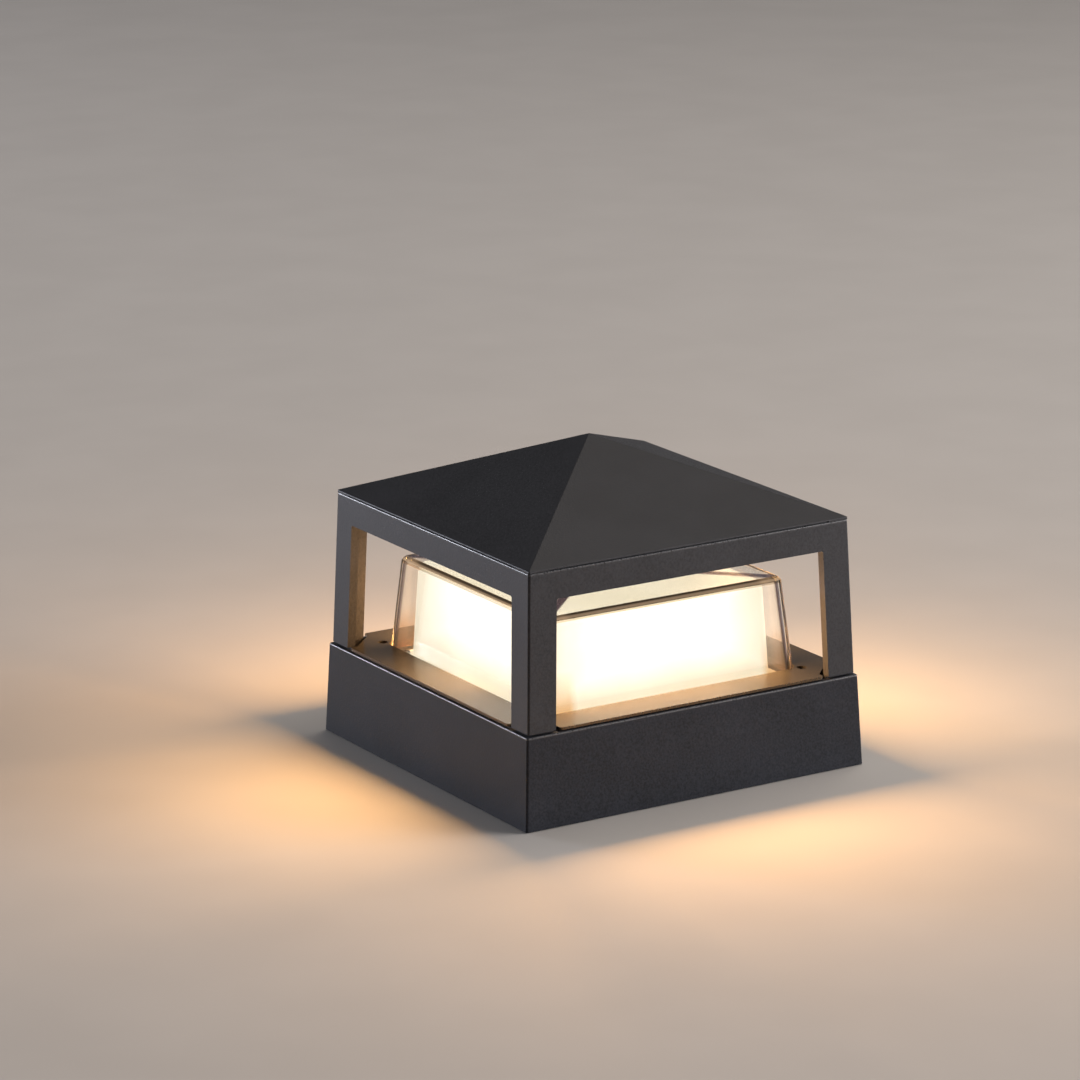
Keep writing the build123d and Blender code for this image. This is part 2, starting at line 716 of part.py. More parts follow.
with BuildPart() as gear_tray:
    with BuildSketch(Plane.XY.offset(tray_under_z)) as tray_plan:
        Rectangle(tray_width, tray_width)
        chamfer(tray_plan.vertices(), tray_corner_cut)
        RectangleRounded(cover_flange_width, cover_flange_width, cover_flange_corner)
    extrude(amount=tray_thickness)
    with BuildSketch(Plane.XY.offset(tray_z)):
        Rectangle(plateau_width, plateau_width)
    extrude(amount=plateau_height)
    with BuildSketch(Plane.XY.offset(earth_z)):
        with Locations((earth_place, block_place)):
            Circle(earth_boss / 2)
    extrude(amount=tray_under_z - earth_z)
    with BuildSketch(Plane.XY.offset(tray_under_z)):
        with Locations(*tray_screw_places):
            Circle((screw[0] + free_hole) / 2)
        with Locations((gland_place, 0)):
            Circle((gland_neck + tapped_hole) / 2)
    extrude(amount=tray_thickness, mode=Mode.SUBTRACT)
    with BuildSketch(Plane.XY.offset(tray_z)):
        with Locations(*diffuser_screw_places):
            Circle((small_screw[0] + tapped_hole) / 2)
    extrude(amount=opal_flange - diffuser_screw_length, mode=Mode.SUBTRACT)
    with BuildSketch(Plane.XY.offset(tray_z + plateau_height)):
        with Locations(*board_screw_places):
            Circle((screw[0] + tapped_hole) / 2)
    board_stack = board_thickness + pad_thickness
    extrude(amount=board_stack - board_screw_length, mode=Mode.SUBTRACT)
    with BuildSketch(Plane.XY.offset(tray_under_z)):
        with Locations(*ear_screw_places):
            Circle((screw[0] + tapped_hole) / 2)
    extrude(amount=driver_screw_length - ear_thickness, mode=Mode.SUBTRACT)
    with BuildSketch(Plane.XY.offset(tray_under_z)):
        with Locations(*block_screw_places):
            Circle((small_screw[0] + tapped_hole) / 2)
    extrude(amount=block_screw_length - block_height, mode=Mode.SUBTRACT)
    with BuildSketch(Plane.XY.offset(earth_z)):
        with Locations((earth_place, block_place)):
            Circle((screw[0] + tapped_hole) / 2)
    extrude(amount=tray_screw_length - lug_sheet, mode=Mode.SUBTRACT)
gear_tray.part.label = "gear_tray"
export_step(gear_tray.part, "parts/gear_tray.step")

# Thermal pad and lamp board
with BuildPart() as thermal_pad:
    with BuildSketch(Plane.XY.offset(tray_z + plateau_height)):
        Rectangle(board_width, board_width)
        with Locations(*board_screw_places):
            Circle((screw[0] + free_hole) / 2, mode=Mode.SUBTRACT)
    extrude(amount=pad_thickness)
thermal_pad.part.label = "thermal_pad"
export_step(thermal_pad.part, "parts/thermal_pad.step")

with BuildPart() as led_board:
    with BuildSketch(Plane.XY.offset(board_z - board_thickness)):
        Rectangle(board_width, board_width)
        with Locations(*board_screw_places):
            Circle((screw[0] + free_hole) / 2, mode=Mode.SUBTRACT)
    extrude(amount=board_thickness)
led_board.part.label = "led_board"
export_step(led_board.part, "parts/led_board.step")

with BuildPart() as led_chips:
    with BuildSketch(Plane.XY.offset(board_z)):
        chip_pitch = (board_width - 2 * chip_border) / (chip_rows - 1)
        with GridLocations(chip_pitch, chip_pitch, chip_rows, chip_rows):
            Rectangle(chip_length, chip_width)
    extrude(amount=chip_height)
led_chips.part.label = "led_chips"
export_step(led_chips.part, "parts/led_chips.step")

board_screws = screw_group(board_screw_places, board_z, board_screw_length, screw, up=False)
board_screws.label = "board_screws"
export_step(board_screws, "parts/board_screws.step")

# Board connector: plug-in housing at the board's edge, where the two wires come in
connector_outer_x = connector_inset - board_width / 2
wire_top_z = board_z + connector_height / 2
with BuildPart() as board_connector:
    with BuildSketch(Plane.XY.offset(board_z)):
        with Locations((connector_outer_x + connector_length / 2, 0)):
            Rectangle(connector_length, connector_width)
    extrude(amount=connector_height)
    fillet(board_connector.edges().filter_by(Axis.Z), 0.4)
board_connector.part.label = "board_connector"
export_step(board_connector.part, "parts/board_connector.step")

# Tray gland: rubber bush that carries the two wires through the tray
with BuildPart() as tray_gland:
    with BuildSketch(Plane.XY.offset(tray_under_z - gland_lip)):
        with Locations((gland_place, 0)):
            Circle(gland_flange / 2)
    extrude(amount=gland_lip)
    with BuildSketch(Plane.XY.offset(tray_under_z)):
        with Locations((gland_place, 0)):
            Circle(gland_neck / 2)
    extrude(amount=tray_thickness)
    with BuildSketch(Plane.XY.offset(tray_z)):
        with Locations((gland_place, 0)):
            Circle(gland_flange / 2)
    extrude(amount=gland_lip)
    with BuildSketch(Plane.XY.offset(tray_under_z - gland_lip)):
        with Locations((gland_place, -wire_spacing / 2), (gland_place, wire_spacing / 2)):
            Circle((wire + tapped_hole) / 2)
    extrude(amount=tray_thickness + 2 * gland_lip, mode=Mode.SUBTRACT)
tray_gland.part.label = "tray_gland"
export_step(tray_gland.part, "parts/tray_gland.step")

# Driver: potted brick with an ear at each end
with BuildPart() as led_driver:
    with BuildSketch(Plane.XY.offset(tray_under_z - driver_height)):
        with Locations((0, driver_place)):
            Rectangle(driver_length, driver_width)
    extrude(amount=driver_height)
    fillet(led_driver.edges().filter_by(Axis.Z), driver_edge)
    fillet(led_driver.faces().sort_by(Axis.Z)[0].edges(), driver_edge / 2)
    with BuildSketch(Plane.XY.offset(tray_under_z - ear_thickness)):
        with Locations((0, driver_place)):
            Rectangle(driver_length + 2 * ear_length, ear_width)
    extrude(amount=ear_thickness)
    fillet(led_driver.edges().filter_by(Axis.Z).group_by(Axis.X)[0], driver_edge)
    fillet(led_driver.edges().filter_by(Axis.Z).group_by(Axis.X)[-1], driver_edge)
    with BuildSketch(Plane.XY.offset(tray_under_z - ear_thickness)):
        with Locations(*ear_screw_places):
            Circle((screw[0] + free_hole) / 2)
    extrude(amount=ear_thickness, mode=Mode.SUBTRACT)
led_driver.part.label = "led_driver"
export_step(led_driver.part, "parts/led_driver.step")

ear_z = tray_under_z - ear_thickness
driver_screws = screw_group(ear_screw_places, ear_z, driver_screw_length, screw, up=True)
driver_screws.label = "driver_screws"
export_step(driver_screws, "parts/driver_screws.step")

# Terminal block: three poles, open towards the supply side
poles = [-pole_pitch, 0, pole_pitch]
with BuildPart() as terminal_block:
    with BuildSketch(Plane.XY.offset(block_under_z)):
        with Locations((0, block_place)):
            Rectangle(block_length, block_width)
    extrude(amount=block_height)
    chamfer(terminal_block.faces().sort_by(Axis.Z)[0].edges().filter_by(Axis.X), driver_edge)
    with BuildSketch(Plane.XZ.offset(block_width / 2 - block_place)):
        with Locations(*[(x, wire_height) for x in poles]):
            Circle(pole_bore / 2)
    extrude(amount=-pole_depth, mode=Mode.SUBTRACT)
    with BuildSketch(Plane.XY.offset(block_under_z)):
        with Locations(*[(x, block_place + side * clamp_offset) for x in poles for side in (-1, 1)]):
            Circle((clamp_diameter + tapped_hole) / 2)
    extrude(amount=clamp_length, mode=Mode.SUBTRACT)
    with BuildSketch(Plane.XY.offset(block_under_z)):
        with Locations(*block_screw_places):
            Circle((small_screw[0] + free_hole) / 2)
    extrude(amount=block_height, mode=Mode.SUBTRACT)
terminal_block.part.label = "terminal_block"
export_step(terminal_block.part, "parts/terminal_block.step")

with BuildPart() as terminal_clamps:
    with BuildSketch(Plane.XY.offset(block_under_z + clamp_length / 4)):
        with Locations(*[(x, block_place + side * clamp_offset) for x in poles for side in (-1, 1)]):
            Circle(clamp_diameter / 2)
    extrude(amount=clamp_length * 3 / 4)
terminal_clamps.part.label = "terminal_clamps"
export_step(terminal_clamps.part, "parts/terminal_clamps.step")

terminal_screws = screw_group(block_screw_places, block_under_z, block_screw_length, small_screw, up=True)
terminal_screws.label = "terminal_screws"
export_step(terminal_screws, "parts/terminal_screws.step")

# Earth point: ring lug and screw on the tray's boss
lug_back = block_place + lug_ring / 2 + lug_barrel_length
barrel_z = earth_z - lug_barrel / 2
with BuildPart() as earth_lug:
    with BuildSketch(Plane.XY.offset(earth_z - lug_sheet)):
        with Locations((earth_place, block_place)):
            Circle(lug_ring / 2)
            Circle((screw[0] + free_hole) / 2, mode=Mode.SUBTRACT)
    extrude(amount=lug_sheet)
    with BuildSketch(Plane.XZ.offset(-lug_back)):
        with Locations((earth_place, barrel_z)):
            Circle(lug_barrel / 2)
    extrude(amount=lug_barrel_length + lug_sheet / 2)
earth_lug.part.label = "earth_lug"
export_step(earth_lug.part, "parts/earth_lug.step")

earth_seat_z = earth_z - lug_sheet
earth_screw = screw_group([(earth_place, block_place)], earth_seat_z, tray_screw_length, screw, up=True)
earth_screw.label = "earth_screw"
export_step(earth_screw, "parts/earth_screw.step")

# Wires: supply side to the driver, earth, and driver to the lamp board through the gland
driver_end = driver_length / 2
driver_low = driver_place - wire_spacing / 2
driver_high = driver_place + wire_spacing / 2
block_back = block_place + block_width / 2
turn_y = block_back + wire_turn
side_x = driver_end + wire_side
lower_z = wire_height - wire_drop
routes = {
    "live_wire": [
        (pole_pitch, block_back, wire_height),
        (pole_pitch, turn_y, wire_height),
        (side_x + wire_spacing, turn_y, wire_height),
        (side_x + wire_spacing, driver_high, wire_height),
        (driver_end, driver_high, wire_height),
    ],
    "neutral_wire": [
        (0, block_back, wire_height),
        (0, turn_y + wire_spacing, wire_height),
        (side_x, turn_y + wire_spacing, wire_height),
        (side_x, driver_low, wire_height),
        (driver_end, driver_low, wire_height),
    ],
    "earth_wire": [
        (-pole_pitch, block_back, wire_height),
        (-pole_pitch, turn_y, wire_height),
        (earth_place, turn_y, barrel_z),
        (earth_place, lug_back, barrel_z),
    ],
    "lamp_wire_plus": [
        (connector_outer_x, wire_spacing / 2, wire_top_z),
        (gland_place, wire_spacing / 2, wire_top_z),
        (gland_place, wire_spacing / 2, wire_height),
        (gland_place, driver_high, wire_height),
        (-driver_end, driver_high, wire_height),
    ],
    "lamp_wire_minus": [
        (connector_outer_x, -wire_spacing / 2, wire_top_z),
        (gland_place, -wire_spacing / 2, wire_top_z),
        (gland_place, -wire_spacing / 2, lower_z),
        (gland_place, driver_low, lower_z),
        (-driver_end, driver_low, lower_z),
    ],
}
for wire_name, points in routes.items():
    run = wire_along(points)
    run.label = wire_name
    export_step(run, f"parts/{wire_name}.step")
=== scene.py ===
"""Finishes, fasteners, lamps and camera for a square pillar light. Metres, +Z up."""

import math

import bmesh
import bpy
from mathutils import Matrix, Vector


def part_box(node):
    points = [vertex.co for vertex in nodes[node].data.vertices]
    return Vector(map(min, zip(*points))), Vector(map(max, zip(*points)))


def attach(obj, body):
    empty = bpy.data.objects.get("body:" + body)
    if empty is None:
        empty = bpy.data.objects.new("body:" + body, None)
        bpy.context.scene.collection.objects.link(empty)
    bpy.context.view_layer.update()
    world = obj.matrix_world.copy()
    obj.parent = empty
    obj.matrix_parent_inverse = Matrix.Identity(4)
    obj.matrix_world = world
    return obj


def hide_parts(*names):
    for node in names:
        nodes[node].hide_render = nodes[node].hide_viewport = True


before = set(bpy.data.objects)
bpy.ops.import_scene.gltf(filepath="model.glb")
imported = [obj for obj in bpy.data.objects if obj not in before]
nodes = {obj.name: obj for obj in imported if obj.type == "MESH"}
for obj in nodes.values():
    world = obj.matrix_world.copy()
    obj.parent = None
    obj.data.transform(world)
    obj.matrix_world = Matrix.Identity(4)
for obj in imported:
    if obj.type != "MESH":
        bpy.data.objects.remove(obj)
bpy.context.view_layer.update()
scene = bpy.context.scene

MM = 0.001
MERGE = 0.001 * MM

# Sizes in millimetres that the finishes share with the solids, the opal's glow in watts per square metre
# and steradian, and the index of polycarbonate
OPAL_FLANGE_REACH = 4.2
COVER_TOP_HALF = 49.5
COVER_EDGE = 2.5
GLOW = 104.0
POLYCARBONATE_IOR = 1.585


# Camera, fitted to the corners of the light


def aim_camera():
    """The long lens low in front of the left corner that the photograph was taken with."""
    azimuth = math.radians(-31.66)
    elevation = math.radians(15.30)
    roll = math.radians(-0.44)
    distance = 1646.2 * MM
    target = Vector((-14.84, 9.15, 76.55)) * MM
    back = Vector(
        (
            math.sin(azimuth) * math.cos(elevation),
            -math.cos(azimuth) * math.cos(elevation),
            math.sin(elevation),
        )
    )
    right = Vector((math.cos(azimuth), math.sin(azimuth), 0))
    up = back.cross(right)
    rolled_right = math.cos(roll) * right + math.sin(roll) * up
    rolled_up = math.cos(roll) * up - math.sin(roll) * right
    data = bpy.data.cameras.new("camera")
    data.sensor_width = 36
    data.lens = 155.84
    data.clip_end = 20
    camera = bpy.data.objects.new("camera", data)
    camera.matrix_world = Matrix.Translation(target + distance * back) @ Matrix(
        (rolled_right, rolled_up, back)
    ).transposed().to_4x4()
    scene.collection.objects.link(camera)
    scene.camera = camera


# Shared tools for finishes


def linear(hex_colour):
    """A linear colour from an sRGB hex value."""
    channels = [int(hex_colour[i : i + 2], 16) / 255 for i in (1, 3, 5)]
    low = [c / 12.92 if c <= 0.04045 else ((c + 0.055) / 1.055) ** 2.4 for c in channels]
    return (*low, 1.0)


def add_node(tree, kind, inputs=None, **settings):
    """One node with its settings, and its inputs set or linked."""
    node = tree.nodes.new(kind)
    for name, value in settings.items():
        setattr(node, name, value)
    for name, value in (inputs or {}).items():
        if isinstance(value, bpy.types.NodeSocket):
            tree.links.new(value, node.inputs[name])
        else:
            node.inputs[name].default_value = value
    return node


def maths(tree, operation, *values):
    """The result of one arithmetic node on these values or sockets."""
    return add_node(tree, "ShaderNodeMath", dict(enumerate(values)), operation=operation).outputs[0]


def mixed(tree, factor, low, high):
    """Two colours, each a hex value or a socket, mixed by a factor."""
    first, second = [linear(colour) if isinstance(colour, str) else colour for colour in (low, high)]
    return add_node(tree, "ShaderNodeMixRGB", {0: factor, 1: first, 2: second}).outputs[0]


def new_finish(name):
    """An empty material, its node tree and the coordinates of the piece it lies on."""
    finish = bpy.data.materials.new(name)
    finish.use_nodes = True
    tree = finish.node_tree
    tree.nodes.clear()
    place = add_node(tree, "ShaderNodeTexCoord").outputs["Object"]
    return finish, tree, place


def close_finish(tree, surface):
    """Links the last shader to the material's output."""
    add_node(tree, "ShaderNodeOutputMaterial", {"Surface": surface})


def mottle(tree, place, size, detail=2.0):
    """Noise whose patches are about this many millimetres across."""
    pattern = add_node(
        tree,
        "ShaderNodeTexNoise",
        {"Vector": place, "Scale": 1 / (size * MM), "Detail": detail, "Roughness": 0.55},
    )
    return pattern.outputs["Fac"]


def between(tree, factor, low, high, start=0.35, stop=0.65):
    """Two colours, or two values, blended by a pattern between start and stop."""
    spread = add_node(
        tree,
        "ShaderNodeMapRange",
        {"Value": factor, "From Min": start, "From Max": stop},
    )
    if isinstance(low, str):
        return mixed(tree, spread.outputs[0], low, high)
    spread.inputs["To Min"].default_value = low
    spread.inputs["To Max"].default_value = high
    return spread.outputs[0]


def relief(tree, height, depth, strength=1.0):
    """Bump of this depth in millimetres."""
    bump = add_node(
        tree,
        "ShaderNodeBump",
        {"Height": height, "Distance": depth * MM, "Strength": strength},
    )
    return bump.outputs["Normal"]


def near_level(tree, height, level, reach):
    """One at a level in metres, falling to nothing at this reach above and below it."""
    gap = maths(tree, "ABSOLUTE", maths(tree, "SUBTRACT", height, level))
    return between(tree, gap, 1.0, 0.0, 0.4 * reach, reach)


def box_places(tree, place):
    """A point's height, and its distances from the light's two upright middle planes."""
    across = add_node(tree, "ShaderNodeSeparateXYZ", {0: place}).outputs
    return across[2], [maths(tree, "ABSOLUTE", across[i]) for i in (0, 1)]


# Finishes


def textured_powder_coat(name, dark, light, roughness, sheen, edge_level, depth=0.06, cast="#ffffff"):
    """Polyester powder coat on die-cast aluminium: a fine dry grain that breaks up its sheen, rubbed smoother
    along the casting's top edge. A cast other than white paints its colour into the coat's reflections."""
    finish, tree, place = new_finish(name)
    grain = mottle(tree, place, 0.8, 3.0)
    cloud = mottle(tree, place, 26.0)
    tone = maths(tree, "ADD", between(tree, grain, 0.0, 0.7), between(tree, cloud, 0.0, 0.3))
    height = add_node(tree, "ShaderNodeSeparateXYZ", {0: place}).outputs[2]
    rubbed = near_level(tree, height, edge_level, 0.5 * MM)
    smoother = maths(tree, "MULTIPLY", rubbed, 0.16)
    coat = add_node(
        tree,
        "ShaderNodeBsdfPrincipled",
        {
            "Base Color": between(tree, tone, dark, light, 0.0, 1.0),
            "Roughness": maths(tree, "SUBTRACT", between(tree, grain, *roughness), smoother),
            "IOR": 1.5,
            "Specular IOR Level": between(tree, rubbed, sheen, 0.8, 0.0, 1.0),
            "Specular Tint": linear(cast),
            "Normal": relief(tree, grain, depth, 0.7),
        },
    )
    close_finish(tree, coat.outputs[0])
    return finish


def clear_polycarbonate():
    """Polished moulded polycarbonate with painted light and shade: brown at the foot of the corners for the
    lit deck behind, a faint glow and dark lines at the upright corners, and a warm glow and tan band along
    the rounded top edge."""
    finish, tree, place = new_finish("clear_polycarbonate")
    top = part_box("clear_cover")[1].z
    deck_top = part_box("deck_plate")[1].z
    rim = COVER_TOP_HALF * MM - COVER_EDGE * MM
    height, sizes = box_places(tree, place)
    widest = maths(tree, "MAXIMUM", *sizes)
    nearest = maths(tree, "MINIMUM", *sizes)
    outside = between(tree, widest, 0.0, 1.0, rim - 0.2 * MM, rim + 0.2 * MM)

    # Painted light on the rounded top edge, outside the opal's reach: a band that glows warm and fades
    # towards the very top, and just below it a painted tan band.
    painted_glow_band = between(tree, height, 0.0, 1.0, top - 1.2 * MM, top - 1.0 * MM)
    painted_tan_band = between(tree, height, 0.0, 1.0, top - 2.1 * MM, top - 1.8 * MM)
    painted_glow_fade = between(tree, height, 0.8, 0.15, top - 0.5 * MM, top - 0.25 * MM)
    painted_edge_glow = maths(tree, "MULTIPLY", maths(tree, "MULTIPLY", painted_glow_band, outside), painted_glow_fade)
    painted_edge_tan = maths(tree, "MULTIPLY", painted_tan_band, outside)

    # Painted light and shade near the cover's upright corners: brown at the foot that stands for the lit deck
    # seen through the wall, a faint painted warm glow, and a painted dark line along each corner that also
    # falls along the top's diagonals.
    past_opal = between(tree, nearest, 0.0, 1.0, rim - 9 * MM, rim - 6 * MM)
    foot = between(tree, height, 1.0, 0.0, deck_top, deck_top + 14 * MM)
    from_corner = maths(tree, "SUBTRACT", widest, nearest)
    painted_corner_shade = between(tree, from_corner, 1.0, 0.0, 1.9 * MM, 2.6 * MM)
    painted_wall_glow = between(tree, from_corner, 0.0, 0.21, 3 * MM, 5 * MM)
    wall = between(tree, maths(tree, "MULTIPLY", past_opal, foot), "#fdfbf8", "#dcb994", 0.0, 1.0)
    wall_with_painted_shade = mixed(tree, painted_corner_shade, wall, "#554957")
    clear = add_node(
        tree,
        "ShaderNodeBsdfPrincipled",
        {
            "Base Color": mixed(tree, painted_edge_tan, wall_with_painted_shade, "#b3a38e"),
            "Roughness": 0.015,
            "IOR": POLYCARBONATE_IOR,
            "Transmission Weight": 1.0,
            # The cover is no lamp: this emission is painted glow on the top edge band and near the corners.
            "Emission Color": linear("#977f66"),
            "Emission Strength": maths(tree, "MULTIPLY_ADD", past_opal, painted_wall_glow, painted_edge_glow),
        },
    )
    lets_through = add_node(tree, "ShaderNodeBsdfTransparent", {"Color": linear("#f6f5f8")})
    path = add_node(tree, "ShaderNodeLightPath")
    blend = add_node(
        tree,
        "ShaderNodeMixShader",
        {0: path.outputs["Is Shadow Ray"], 1: clear.outputs[0], 2: lets_through.outputs[0]},
    )
    close_finish(tree, blend.outputs[0])
    return finish


def lit_opal_polycarbonate():
    """Opal polycarbonate lit from inside: a white glow that turns cream on top and towards its corners and
    foot."""
    finish, tree, place = new_finish("lit_opal_polycarbonate")
    foot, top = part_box("inner_diffuser")
    half = top.x - OPAL_FLANGE_REACH * MM
    height, sizes = box_places(tree, place)
    nearest = maths(tree, "MINIMUM", *sizes)
    corner = between(tree, nearest, 0.0, 1.0, 0.45 * half, half)
    low = between(tree, height, 1.0, 0.0, foot.z + 5 * MM, foot.z + 18 * MM)
    high = between(tree, height, 0.0, 1.0, top.z - 0.8 * MM, top.z - 0.1 * MM)
    shade = maths(tree, "MAXIMUM", corner, maths(tree, "MAXIMUM", low, high))
    cloud = between(tree, mottle(tree, place, 30.0), 0.0, 0.15)
    tone = maths(tree, "ADD", shade, cloud)
    opal = add_node(
        tree,
        "ShaderNodeBsdfPrincipled",
        {
            "Base Color": between(tree, tone, "#9d9485", "#4b463e", 0.0, 1.15),
            "Roughness": 0.35,
            "IOR": POLYCARBONATE_IOR,
            "Emission Color": between(tree, tone, "#fffaea", "#d8ceb4", 0.0, 1.15),
            "Emission Strength": between(tree, high, 1.35, 1.9, 0.0, 1.0),
        },
    )
    close_finish(tree, opal.outputs[0])
    return finish


def plain_finish(name, low, high, size, roughness, metallic=0.0, depth=0.02, ior=1.5):
    """A finish of two close tones, with roughness and relief at one pattern size in millimetres."""
    finish, tree, place = new_finish(name)
    pattern = mottle(tree, place, size, 3.0)
    surface = add_node(
        tree,
        "ShaderNodeBsdfPrincipled",
        {
            "Base Color": between(tree, pattern, low, high),
            "Roughness": between(tree, pattern, *roughness),
            "Metallic": metallic,
            "IOR": ior,
            "Normal": relief(tree, pattern, depth),
        },
    )
    close_finish(tree, surface.outputs[0])
    return finish


def striped_lead():
    """Silicone insulation in green with the yellow stripe of an earth lead along its top."""
    finish, tree, place = new_finish("green_and_yellow_lead")
    grain = mottle(tree, place, 1.0, 3.0)
    facing = add_node(tree, "ShaderNodeNewGeometry").outputs["Normal"]
    upward = add_node(tree, "ShaderNodeSeparateXYZ", {0: facing}).outputs[2]
    stripe = between(tree, maths(tree, "ABSOLUTE", upward), 0.0, 1.0, 0.66, 0.7)
    green = between(tree, grain, "#2f7a2c", "#388434")
    yellow = between(tree, grain, "#d9c21f", "#e3cc2c")
    surface = add_node(
        tree,
        "ShaderNodeBsdfPrincipled",
        {
            "Base Color": mixed(tree, stripe, green, yellow),
            "Roughness": between(tree, grain, 0.4, 0.52),
            "IOR": 1.41,
            "Normal": relief(tree, grain, 0.01),
        },
    )
    close_finish(tree, surface.outputs[0])
    return finish


seam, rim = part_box("roof_cap")[0].z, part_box("base_housing")[1].z
dry_grain = (0.4, 0.58)
head_coat = textured_powder_coat(
    "textured_powder_coat", "#1d1d20", "#303034", dry_grain, 0.3, seam - 0.4 * MM
)
# The base's coat is the head's coat made bluer and a little darker, with less sheen: painted shade on the
# base.
base_coat_with_painted_shade = textured_powder_coat(
    "coat_of_base_with_painted_shade", "#1b1d22", "#2d2f36", dry_grain, 0.15, rim - 0.3 * MM
)
# The deck's warm cast is a painted warm tint in its reflections of the lit opal.
deck_coat = textured_powder_coat(
    "smooth_coat_of_deck", "#201e1d", "#32302d", (0.22, 0.26), 1.0, seam, depth=0.002, cast="#ffd9a6"
)
clear = clear_polycarbonate()
opal = lit_opal_polycarbonate()
cast_alloy = plain_finish("bare_cast_aluminium", "#9a9a9b", "#b4b4b3", 0.8, (0.42, 0.6), 1.0, 0.03)
zinc = plain_finish("zinc_plated_steel", "#adb0b2", "#b9bab8", 1.4, (0.32, 0.4), 1.0, 0.004)
stainless = plain_finish("stainless_steel", "#b4b2ae", "#c9c7c2", 0.6, (0.22, 0.34), 1.0, 0.003)
silicone = plain_finish("silicone_rubber", "#a9a8a4", "#b7b6b1", 1.5, (0.5, 0.62), 0.0, 0.01)
foam = plain_finish("closed_cell_foam", "#151515", "#2a2a2a", 0.45, (0.8, 0.95), 0.0, 0.15)
rubber = plain_finish("moulded_rubber", "#161616", "#202020", 1.2, (0.48, 0.62), 0.0, 0.02)
pad = plain_finish("silicone_gap_pad", "#7f8c99", "#8f9ba6", 0.7, (0.7, 0.85), 0.0, 0.04)
solder_mask = plain_finish("white_solder_mask", "#ecece8", "#f4f4f1", 1.0, (0.3, 0.4), 0.0, 0.01)
phosphor = plain_finish("lamp_phosphor", "#e5bd3c", "#f0cb52", 0.5, (0.4, 0.5), 0.0, 0.01)
nylon = plain_finish("natural_nylon", "#dcd8cc", "#e6e3d8", 1.0, (0.4, 0.5), 0.0, 0.01)
driver_case = plain_finish("moulded_polycarbonate", "#d2d2ce", "#dcdcd8", 0.4, (0.45, 0.58), 0.0, 0.03)
dark_nylon = plain_finish("grey_nylon", "#3b3c3e", "#46474a", 0.6, (0.42, 0.55), 0.0, 0.02)
brass = plain_finish("machined_brass", "#c9a45a", "#d8b66d", 0.7, (0.25, 0.36), 1.0, 0.003)
tinned = plain_finish("tinned_copper", "#b5b3ad", "#c6c4be", 0.9, (0.3, 0.42), 1.0, 0.005)
brown_lead = plain_finish("brown_silicone_lead", "#4f2c18", "#5a331d", 1.0, (0.4, 0.52), 0.0, 0.01)
blue_lead = plain_finish("blue_silicone_lead", "#1d4f93", "#245a9f", 1.0, (0.4, 0.52), 0.0, 0.01)
green_lead = striped_lead()
red_lead = plain_finish("red_silicone_lead", "#a4201c", "#b02a24", 1.0, (0.4, 0.52), 0.0, 0.01)
black_lead = plain_finish("black_silicone_lead", "#1a1a1a", "#232323", 1.0, (0.4, 0.52), 0.0, 0.01)

finishes = {
    head_coat: ("lantern_frame", "roof_cap"),
    deck_coat: ("deck_plate",),
    base_coat_with_painted_shade: ("base_housing",),
    clear: ("clear_cover",),
    opal: ("inner_diffuser",),
    cast_alloy: ("gear_tray",),
    zinc: ("mounting_plate",),
    stainless: (
        "roof_screws",
        "frame_screws",
        "head_screws",
        "tray_screws",
        "diffuser_screws",
        "board_screws",
        "driver_screws",
        "terminal_screws",
        "earth_screw",
        "plate_screws",
    ),
    silicone: ("cover_gasket", "tray_gland"),
    foam: ("foot_gasket",),
    rubber: ("cable_grommet",),
    pad: ("thermal_pad",),
    solder_mask: ("led_board",),
    phosphor: ("led_chips",),
    nylon: ("board_connector",),
    driver_case: ("led_driver",),
    dark_nylon: ("terminal_block",),
    brass: ("terminal_clamps",),
    tinned: ("earth_lug",),
    brown_lead: ("live_wire",),
    blue_lead: ("neutral_wire",),
    green_lead: ("earth_wire",),
    red_lead: ("lamp_wire_plus",),
    black_lead: ("lamp_wire_minus",),
}
for finish, names in finishes.items():
    for name in names:
        mesh = nodes[name].data
        mesh.materials.clear()
        mesh.materials.append(finish)


# Fasteners, in place of the plain ones of the solid model


def separate_solids(name):
    """The corners of each separate solid in a CAD node."""
    shape = bmesh.new()
    shape.from_mesh(nodes[name].data)
    bmesh.ops.transform(shape, matrix=nodes[name].matrix_world, verts=shape.verts)
    bmesh.ops.remove_doubles(shape, verts=shape.verts, dist=MERGE)
    waiting = set(shape.verts)
    solids = []
    while waiting:
        found = [waiting.pop()]
        for vert in found:
            near = [edge.other_vert(vert) for edge in vert.link_edges]
            found += [other for other in near if other in waiting]
            waiting.difference_update(near)
        solids.append([vert.co.copy() for vert in found])
    shape.free()
    return sorted(solids, key=lambda solid: sum(solid, Vector())[:])


def box_of(corners):
    """The low and the high corner of the box round these corners."""
    return [Vector([pick(c[i] for c in corners) for i in range(3)]) for pick in (min, max)]


def measure_screw(solid):
    """A plain screw's place on its seat, its way up, and its head's and shank's sizes."""
    low, high = box_of(solid)
    centre = (low + high) / 2
    reach = {id(c): math.hypot(c.x - centre.x, c.y - centre.y) for c in solid}
    radius = max(reach.values())
    head = [c.z for c in solid if reach[id(c)] > 0.98 * radius]
    head_low, head_high = min(head), max(head)
    slack = MM / 100
    shank = max(reach[id(c)] for c in solid if not head_low - slack <= c.z <= head_high + slack)
    up = high.z - head_high < head_low - low.z
    seat = head_low if up else head_high
    sizes = (radius, head_high - head_low, shank, high.z - low.z - (head_high - head_low))
    return Vector((centre.x, centre.y, seat)), up, sizes


